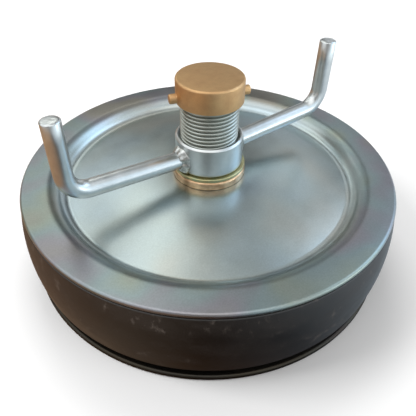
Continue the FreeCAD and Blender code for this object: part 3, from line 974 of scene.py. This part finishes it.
@dataclass
class WingNut:
    """Threaded collar with two bent round bars welded to it."""

    collar_radius: float = 19.7
    collar_bore: float = 16.705
    collar_foot: float = 60.1
    collar_length: float = 18.6
    collar_chamfer: float = 1.0
    mouth: float = 1.3
    bar_radius: float = 5.0
    axis_height: float = 65.9
    rise_deg: float = 3.5
    reach: float = 86.7
    upright: float = 43.5
    lean_deg: float = 0.5
    bend_radius: float = 13.0
    lying_shares: tuple[float, ...] = (0.45, 0.75)
    past_bend: float = 4.0
    upright_share: float = 0.7
    cope_gap: float = 0.1
    crop_length: float = 1.15
    crop: tuple[Point, ...] = ((4.8, 0.3), (4.35, 0.66), (3.8, 0.88), (3.1, 1.0), (2.0, 1.1),
                               (0.9, 1.12))
    crumple_within: float = 4.6
    crumple_depth: float = 0.22
    crumple_rate: float = 0.55
    bead_leg: float = 3.15
    bead_gap: float = 0.12
    bead_least: float = 0.3
    bead_clearance: float = 0.45
    bead_lump: float = 0.3
    bead_lump_rate: float = 1.7
    bead_ripple: float = 0.1
    bead_ripples: float = 9.0
    bead_hollow: float = 1.3
    bead_run: float = 0.95
    bead_bulge: float = 0.35
    bar_steps: int = 48
    bend_steps: int = 16
    bead_steps: int = 72
    bead_layers: int = 8
    segments: int = 160

    def collar(self) -> bpy.types.Object:
        """Collar with chamfered rims and a countersunk mouth."""
        top = self.collar_foot + self.collar_length
        outline = rounded([
            Corner(self.collar_bore, self.collar_foot),
            Corner(self.collar_radius - self.collar_chamfer, self.collar_foot, 0.2),
            Corner(self.collar_radius, self.collar_foot + self.collar_chamfer, 0.5),
            Corner(self.collar_radius, top - self.collar_chamfer, 0.5),
            Corner(self.collar_radius - self.collar_chamfer, top, 0.2),
            Corner(self.collar_bore + self.mouth, top, 0.1),
            Corner(self.collar_bore, top - self.mouth, 0.1),
        ], steps=5)
        return lathe("nut_collar_socket", outline, self.segments)

    def along(self, length: float, lateral: float, upward: float) -> Vector:
        """Place beside the lying stretch of an arm.

        Args:
            length: Distance along the stretch from the centre line.
            lateral: Offset along Y.
            upward: Offset square to the stretch.

        Returns:
            Point in millimetres.
        """
        rise = math.radians(self.rise_deg)
        return Vector((length * math.cos(rise) - upward * math.sin(rise), lateral,
                       self.axis_height + length * math.sin(rise) + upward * math.cos(rise)))

    def path(self) -> list[tuple[Vector, float]]:
        """Centre line after the coped foot: points in the arm's plane and their turn."""
        turn = math.radians(90.0 - self.lean_deg - self.rise_deg)
        tangent = self.bend_radius * math.tan(turn / 2.0)
        start = self.reach - tangent
        stations = [(Vector((start * share, 0.0)), 0.0) for share in self.lying_shares]
        for step in range(self.bend_steps + 1):
            part = turn * step / self.bend_steps
            stations.append((Vector((start + self.bend_radius * math.sin(part),
                                     self.bend_radius * (1.0 - math.cos(part)))), part))
        corner = Vector((self.reach, 0.0))
        heading = Vector((math.cos(turn), math.sin(turn)))
        for length in (tangent + self.past_bend, self.upright * self.upright_share,
                       self.upright - self.crop_length):
            stations.append((corner + heading * length, turn))
        return stations

    def ring(self, centre: Vector, turn: float, radius: float) -> list[Vector]:
        """Circle of the bar about a station of its path, in millimetres."""
        points = []
        for angle in turns(self.bar_steps):
            side, lift = radius * math.cos(angle), radius * math.sin(angle)
            points.append(self.along(centre.x - lift * math.sin(turn), side,
                                     centre.y + lift * math.cos(turn)))
        return points

    def crumple(self, point: Vector, seed: float) -> Vector:
        """Press a place on a cropped end in a little, unevenly."""
        dent = abs(noise.noise(point * self.crumple_rate + Vector((seed, 0.0, 0.0))))
        return point - Vector((0.0, 0.0, self.crumple_depth * dent))

    def arm(self, name: str, heading: float, seed: float) -> bpy.types.Object:
        """Bent bar from its coped foot to its cropped end.

        Args:
            name: Name of the piece.
            heading: Angle of the arm about the centre line, in degrees.
            seed: Offset of the unevenness of the cropped end.

        Returns:
            The arm.
        """
        foot = []
        for angle in turns(self.bar_steps):
            side, lift = self.bar_radius * math.cos(angle), self.bar_radius * math.sin(angle)
            cope = math.sqrt((self.collar_radius + self.cope_gap) ** 2 - side * side)
            foot.append(self.along(cope / math.cos(math.radians(self.rise_deg)), side, lift))
        stations = self.path()
        rows = [foot] + [self.ring(point, turn, self.bar_radius) for point, turn in stations]
        tip, turn = stations[-1]
        heading_in_plane = Vector((math.cos(turn), math.sin(turn)))
        for radius, ahead in self.crop:
            row = self.ring(tip + heading_in_plane * ahead, turn, radius)
            rows.append([self.crumple(point, seed) if radius < self.crumple_within else point
                         for point in row])
        mesh = grid_mesh([[point * MM for point in row] for row in rows], closed=False)
        mesh.verts.ensure_lookup_table()
        for row_start in (0, (len(rows) - 1) * self.bar_steps):
            mesh.faces.new([mesh.verts[row_start + i] for i in range(self.bar_steps)])
        mesh.transform(Matrix.Rotation(math.radians(heading), 4, "Z"))
        return finish_mesh(name, mesh)

    def at_wall(self, across: float, angle: float, ahead: float) -> Vector:
        """Place round the bar, at a distance ahead of the collar's wall, in millimetres."""
        side, lift = across * math.cos(angle), across * math.sin(angle)
        wall = math.sqrt((self.collar_radius + self.bead_gap) ** 2 - side * side)
        return self.along(wall / math.cos(math.radians(self.rise_deg)) + ahead, side, lift)

    def bead(self, name: str, heading: float, seed: float) -> bpy.types.Object:
        """Lumpy weld bead from the collar's wall to the bar.

        Args:
            name: Name of the piece.
            heading: Angle of the arm about the centre line, in degrees.
            seed: Offset of the bead's unevenness.

        Returns:
            The bead.
        """
        layers = self.bead_layers
        rise = math.radians(self.rise_deg)
        axis_at_wall = self.axis_height + self.collar_radius * math.tan(rise)
        floor = axis_at_wall - self.collar_foot - self.bead_clearance
        inner = self.bar_radius + self.bead_gap
        rows: list[list[Vector]] = [[] for _ in range(layers + 2)]
        for angle in turns(self.bead_steps):
            unit = Vector((math.cos(angle), math.sin(angle), seed))
            scale = (1.0 + self.bead_ripple * math.cos(angle * self.bead_ripples + seed)
                     + self.bead_lump * noise.noise(unit * self.bead_lump_rate))
            outer = inner + self.bead_leg * scale
            down = -math.sin(angle)
            if down > 0.05:
                # The bead's lower toe stays clear of the collar's foot
                outer = max(inner + self.bead_least, min(outer, floor / down))
            for layer in range(layers + 1):
                share = layer / layers * math.pi / 2.0
                # The bead bulges between its toe on the wall and its toe on the bar
                across = inner + (outer - inner) * (1.0 - math.sin(share) ** self.bead_hollow)
                ahead = ((outer - inner) * math.sin(share) * self.bead_run
                         + self.bead_bulge * math.sin(2.0 * share) * scale)
                rows[layer].append(self.at_wall(across, angle, ahead))
            rows[layers + 1].append(self.at_wall(inner, angle, 0.0))
        mesh = grid_mesh([[point * MM for point in row] for row in rows], closed=True)
        mesh.transform(Matrix.Rotation(math.radians(heading), 4, "Z"))
        return finish_mesh(name, mesh, sharp_deg=70.0)

    def build(self, bar: bpy.types.Material, weld: bpy.types.Material) -> None:
        """Build and dress the collar, the arms and their beads."""
        dress(self.collar(), bar, Slot.ZINC_BAR, Body.WING_NUT, "nut_collar")
        for side, heading, seed in (("right", 0.0, 3.1), ("left", 180.0, 7.7)):
            dress(self.arm(f"{side}_arm_bar", heading, seed), bar, Slot.ZINC_BAR,
                  Body.WING_NUT, f"{side}_arm")
            dress(self.bead(f"{side}_arm_bead", heading, seed), weld, Slot.WELD_BEAD,
                  Body.WING_NUT, f"{side}_arm_weld")


@dataclass
class OutletCap:
    """Brass cap: one casting with two lugs."""

    radius: float = 18.9
    bore: float = 16.705
    foot: float = 99.8
    top: float = 113.0
    crown: float = 4.0
    rim_round: float = 1.3
    lug_radius: float = 2.7
    lug_end: float = 22.9
    lug_drop: float = 10.4
    lug_round: float = 0.8
    lug_root: float = 0.15
    lug_sunk: float = 0.4
    foot_round: float = 0.35
    bore_round: float = 0.2
    turn_deg: float = -18.0
    segments: int = 160
    lug_segments: int = 48

    def lug(self, way: int) -> bpy.types.Object:
        """One lug, turned about its own axis and laid along X.

        Args:
            way: 1 or -1, the end of the axis that it points to.

        Returns:
            The lug.
        """
        inside = self.bore + self.lug_sunk
        outline = rounded([
            Corner(0.0, inside),
            Corner(self.lug_radius + self.lug_root, inside),
            Corner(self.lug_radius + self.lug_root, self.radius - 0.3, 0.1),
            Corner(self.lug_radius, self.radius + self.lug_root, 0.4),
            Corner(self.lug_radius, self.lug_end, self.lug_round),
            Corner(0.0, self.lug_end),
        ])
        piece = lathe("cap_lug", outline, self.lug_segments)
        tilt = Matrix.Rotation(math.radians(90.0 * way), 4, "Y")
        lift = Matrix.Translation(Vector((0, 0, (self.top - self.lug_drop) * MM)))
        piece.data.transform(lift @ tilt)
        return piece

    def build(self, brass: bpy.types.Material) -> bpy.types.Object:
        """Build the cap with its lugs and dress it."""
        outline = rounded([
            Corner(0.0, self.top),
            Corner(self.radius, self.top, self.rim_round),
            Corner(self.radius, self.foot, self.foot_round),
            Corner(self.bore, self.foot, self.bore_round),
            Corner(self.bore, self.top - self.crown),
            Corner(0.0, self.top - self.crown),
        ])
        piece = lathe("outlet_cap_casting", outline, self.segments)
        for way in (1, -1):
            unite(piece, self.lug(way))
        piece.data.transform(Matrix.Rotation(math.radians(self.turn_deg), 4, "Z"))
        return dress(piece, brass, Slot.CAP_BRASS, Body.CAP, "outlet_cap")


@dataclass
class KeptNodes:
    """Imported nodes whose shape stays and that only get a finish."""

    def build(self, weld: bpy.types.Material, seal: bpy.types.Material) -> None:
        """Put the finishes into the nodes' own material slots."""
        for node, material in (("tube_weld", weld), ("cap_seal", seal)):
            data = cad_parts[node].data
            data.materials.clear()
            data.materials.append(material)
            LOG.info("%s: kept, new finish", node)


# Studio


@dataclass(frozen=True)
class Panel:
    """Soft round panel of the tent; azimuth counts to the right of the camera's heading."""

    name: str
    azimuth_deg: float
    elevation_deg: float
    radius_deg: float
    colour: str
    strength: float = 1.0
    softness: float = 0.5


@dataclass
class Studio:
    """Pale floor, soft lamps and the camera at the photograph's angle.

    Lengths are in millimetres, and in metres where the name ends in m.
    """

    target_up: float = 55.0
    distance: float = 284.69
    elevation_deg: float = 35.659
    azimuth_deg: float = -35.0
    pitch_deg: float = -5.1745
    roll_deg: float = -0.9808
    focal_px: float = 465.91
    frame_px: float = 416.0
    sensor_mm: float = 36.0
    aim_up: float = 50.0
    floor_reach_m: float = 6.0
    floor_drop_m: float = 0.0001
    floor_paint: str = "#F4F4F4"
    ambient: float = 0.62
    tent_radius_m: float = 1.8
    panel_cover: float = 0.95
    # Cloth of the tent by the sine of its elevation
    cloth: tuple[tuple[float, str], ...] = (
        (0.0, "#CDCDCC"), (0.35, "#D8D9D9"), (0.7, "#E9ECED"), (0.93, "#A9ABAC"),
        (1.0, "#A9ABAC"))
    # Mat from the left of the camera's heading to its right, and the sunlit floor past it
    mat_tones: tuple[tuple[float, str], ...] = (
        (0.0, "#D2A57C"), (0.3, "#B58F72"), (0.4, "#A58A72"), (0.5, "#5A3E28"),
        (0.6, "#5C6066"), (0.75, "#D4E4F0"), (1.0, "#F4FAFF"))
    mat_half_m: float = 0.3
    sunlit_m: float = 0.6
    sunlit: str = "#EEFAFF"
    sunlit_strength: float = 2.1
    # Name, place and side in metres, and watts of each lamp
    lamps: tuple[tuple[str, tuple[float, float, float], float, float], ...] = (
        ("window", (-0.9, 0.5, 1.1), 0.6, 12.0),
        ("overhead", (0.4, 0.9, 1.4), 0.8, 10.0),
        ("fill", (0.6, -1.2, 0.9), 0.9, 5.0))

    def camera(self) -> bpy.types.Object:
        """Camera placed by the fitted view of the plug."""
        data = bpy.data.cameras.new("view")
        data.sensor_width = self.sensor_mm
        data.lens = self.focal_px * self.sensor_mm / self.frame_px
        data.clip_start = 0.01
        azimuth, elevation = math.radians(self.azimuth_deg), math.radians(self.elevation_deg)
        target = Vector((0, 0, self.target_up * MM))
        offset = Vector((math.sin(azimuth) * math.cos(elevation),
                         -math.cos(azimuth) * math.cos(elevation), math.sin(elevation)))
        place = target + offset * self.distance * MM
        aim = (target - place).to_track_quat("-Z", "Y").to_matrix().to_4x4()
        tilt = Matrix.Rotation(math.radians(self.pitch_deg), 4, "X")
        roll = Matrix.Rotation(-math.radians(self.roll_deg), 4, "Z")
        camera = bpy.data.objects.new("view", data)
        camera.matrix_world = Matrix.Translation(place) @ aim @ tilt @ roll
        bpy.context.scene.collection.objects.link(camera)
        bpy.context.scene.camera = camera
        return camera

    def floor(self) -> bpy.types.Object:
        """Wide pale floor under the plug."""
        mesh = bmesh.new()
        reach = self.floor_reach_m
        corners = [mesh.verts.new((x, y, -self.floor_drop_m)) for x, y in
                   ((-reach, -reach), (reach, -reach), (reach, reach), (-reach, reach))]
        mesh.faces.new(corners)
        piece = finish_mesh("floor", mesh)
        surface = Surface.start("pale_floor")
        piece.data.materials.append(surface.dress(Base_Color=srgb(self.floor_paint),
                                                  Roughness=0.9))
        return piece

    def lamp(self, name: str, place: Vector, size: float, power: float) -> bpy.types.Object:
        """Square soft lamp aimed at the plug.

        Args:
            name: Name of the lamp.
            place: Position in metres.
            size: Side of the square in metres.
            power: Strength in watts.

        Returns:
            The lamp.
        """
        data = bpy.data.lights.new(name, "AREA")
        data.shape = "SQUARE"
        data.size = size
        data.energy = power
        lamp = bpy.data.objects.new(name, data)
        lamp.visible_glossy = False
        look = Vector((0, 0, self.aim_up * MM)) - place
        aim = look.to_track_quat("-Z", "Y").to_matrix().to_4x4()
        lamp.matrix_world = Matrix.Translation(place) @ aim
        bpy.context.scene.collection.objects.link(lamp)
        return lamp

    def heading(self, azimuth_deg: float, elevation_deg: float) -> Vector:
        """Direction seen from the plug.

        Args:
            azimuth_deg: Angle to the right of the direction that the camera looks along.
            elevation_deg: Angle above the floor.

        Returns:
            Unit vector.
        """
        azimuth = math.radians(azimuth_deg - self.azimuth_deg)
        elevation = math.radians(elevation_deg)
        return Vector((math.sin(azimuth) * math.cos(elevation),
                       math.cos(azimuth) * math.cos(elevation), math.sin(elevation)))

    def only_reflected(self, piece: bpy.types.Object) -> None:
        """Mark a piece as stage that is seen in gloss alone, and gives and takes no light."""
        piece.visible_camera = False
        piece.visible_diffuse = False
        piece.visible_transmission = False
        piece.visible_shadow = False
        piece.visible_volume_scatter = False
        piece.active_material.cycles.emission_sampling = "NONE"

    def tent(self) -> None:
        """Cloth dome round the set, seen in reflections, with lighter and darker panels."""
        mesh = bmesh.new()
        bmesh.ops.create_uvsphere(mesh, u_segments=48, v_segments=24, radius=self.tent_radius_m)
        below = [face for face in mesh.faces if face.calc_center_median().z < 0.0]
        bmesh.ops.delete(mesh, geom=below, context="FACES")
        piece = finish_mesh("reflection_tent", mesh)
        surface = Surface.start("tent_cloth")
        tree = surface.tree
        way = add_node(tree, "ShaderNodeVectorMath", {0: surface.place}, operation="NORMALIZE")
        way = way.outputs["Vector"]
        sine = add_node(tree, "ShaderNodeSeparateXYZ", {0: way}).outputs["Z"]
        colour = surface.tones(sine, self.cloth)
        for panel in self.panels():
            dot = add_node(tree, "ShaderNodeVectorMath",
                           {0: way, 1: self.heading(panel.azimuth_deg, panel.elevation_deg)},
                           operation="DOT_PRODUCT").outputs["Value"]
            inner = math.cos(math.radians(panel.radius_deg * (1.0 - panel.softness)))
            outer = math.cos(math.radians(panel.radius_deg * (1.0 + panel.softness)))
            share = add_node(tree, "ShaderNodeMapRange",
                             {"Value": dot, "From Min": outer, "From Max": inner},
                             interpolation_type="SMOOTHSTEP").outputs["Result"]
            colour = surface.mix(surface.calc("MULTIPLY", share, self.panel_cover), colour,
                                 lit(panel.colour, panel.strength))
        piece.data.materials.append(surface.glow(colour))
        self.only_reflected(piece)

    def mat(self) -> None:
        """Mat under the plug, seen in reflections: tan, dark brown in front, pale to the right."""
        mesh = bmesh.new()
        bmesh.ops.create_circle(mesh, cap_ends=True, segments=64, radius=self.tent_radius_m)
        piece = finish_mesh("reflection_mat", mesh)
        surface = Surface.start("brown_mat")
        side = add_node(surface.tree, "ShaderNodeVectorMath",
                        {0: surface.place, 1: self.heading(90.0, 0.0)},
                        operation="DOT_PRODUCT").outputs["Value"]
        colour = surface.tones(
            surface.spread(side, 0.0, 1.0, -self.mat_half_m, self.mat_half_m), self.mat_tones)
        colour = surface.mix(surface.spread(side, 0.0, 1.0, self.mat_half_m, self.sunlit_m),
                             colour, lit(self.sunlit, self.sunlit_strength))
        piece.data.materials.append(surface.glow(colour))
        self.only_reflected(piece)

    def world(self) -> None:
        """White to the eye and in reflections, softer as light."""
        world = bpy.data.worlds.new("studio")
        bpy.context.scene.world = world
        world.use_nodes = True
        tree = world.node_tree
        tree.nodes.clear()
        rays = add_node(tree, "ShaderNodeLightPath").outputs
        seen = add_node(tree, "ShaderNodeMath", {0: rays["Is Camera Ray"],
                                                 1: rays["Is Glossy Ray"]}, operation="MAXIMUM")
        seen = add_node(tree, "ShaderNodeMath", {0: seen.outputs[0],
                                                 1: rays["Is Transmission Ray"]},
                        operation="MAXIMUM")
        soft = add_node(tree, "ShaderNodeBackground",
                        {"Color": (1, 1, 1, 1), "Strength": self.ambient})
        white = add_node(tree, "ShaderNodeBackground", {"Color": (1, 1, 1, 1), "Strength": 1.0})
        both = add_node(tree, "ShaderNodeMixShader", {0: seen.outputs[0],
                                                      1: soft.outputs[0], 2: white.outputs[0]})
        add_node(tree, "ShaderNodeOutputWorld", {"Surface": both.outputs[0]})

    def panels(self) -> list[Panel]:
        """Panels of the tent, from what a plug on a workshop bench mirrors."""
        return [
            Panel("dark_cupboard", -8.0, 33.0, 16.0, "#42403E"),
            Panel("doorway", 18.0, 30.0, 15.0, "#2E3032"),
            Panel("bench_lamp_low", 18.0, 7.0, 12.0, "#F8FAFC", 1.05),
            Panel("window_left", -26.0, 48.0, 12.5, "#F6F8F4", 2.6),
            Panel("window_post", -39.0, 48.0, 8.0, "#A6A6A2"),
            Panel("shelf_lamp", 21.0, 35.0, 7.6, "#FAFCFF", 1.28),
            Panel("wall_left_low", -68.0, 18.0, 15.0, "#9A948A"),
            Panel("ceiling_left", -95.0, 60.0, 18.0, "#F6FAFA", 1.7),
            Panel("window_left_low", -48.0, 37.0, 8.0, "#F6F8F4", 2.2),
            Panel("window_left_high", -36.0, 64.0, 9.0, "#F8F8F4", 2.2),
            Panel("lamp_left", -85.0, 40.0, 9.0, "#FFFFFF", 2.8),
            Panel("lamp_left_rear", -122.0, 34.0, 28.0, "#FAFCFF", 1.5, 0.4),
            Panel("lamp_left_high", -138.0, 64.0, 18.0, "#FFFFFF", 2.9, 0.4),
            Panel("window_right", 80.0, 22.0, 15.0, "#CCE6FF", 3.0),
            Panel("window_right_high", 66.0, 42.0, 14.0, "#D0E6FF", 3.6),
            Panel("window_right_rear", 118.0, 18.0, 25.0, "#E2F2FF", 1.75, 0.45),
            Panel("window_right_low", 104.0, 3.0, 10.0, "#EEF8FF", 5.0),
            Panel("ceiling_rear", 180.0, 66.0, 28.0, "#FFFFFF", 1.8, 0.35),
            Panel("onlooker", -174.0, 29.0, 14.0, "#4E4946", 1.0, 0.4),
        ]

    def build(self) -> None:
        """Set up the camera, floor, world, reflections and lamps."""
        scene = bpy.context.scene
        scene.view_settings.view_transform = "Standard"
        self.camera()
        self.floor()
        self.world()
        self.tent()
        self.mat()
        for name, place, size, power in self.lamps:
            self.lamp(name, Vector(place), size, power)


def main() -> None:
    """Build every sub-assembly in order, then the studio."""
    logging.basicConfig(level=logging.INFO, format="%(name)s %(message)s")
    sheet = PassivatedZincSheet().make()
    bar = BrightZincBar().make()
    weld = PlatedWeldBead().make()
    KeptNodes().build(weld, SealRubber().make())
    # The lower plate's rim gets the painted dark brown band of shade
    rim_shaded_sheet = PassivatedZincSheet(name="rim_shaded_zinc_sheet", rim_shade_start_mm=103.0).make()
    PressedPlate("lower_plate_pressing", "lower_plate", Body.BASE, face=0.0, way=-1,
                 hole=16.725).build(rim_shaded_sheet)
    PressedPlate("upper_plate_pressing", "upper_plate", Body.PRESSURE_PLATE, face=55.0, way=1,
                 hole=17.025).build(sheet)
    SealingRing().build(MouldedRubber().make())
    ThreadedTube().build(CutZincThread().make())
    ThrustStack().build(TurnedCopperRing().make(), YellowZinc().make())
    WingNut().build(bar, weld)
    OutletCap().build(SatinCastBrass().make())
    Studio().build()


if __name__ == "__main__":
    main()
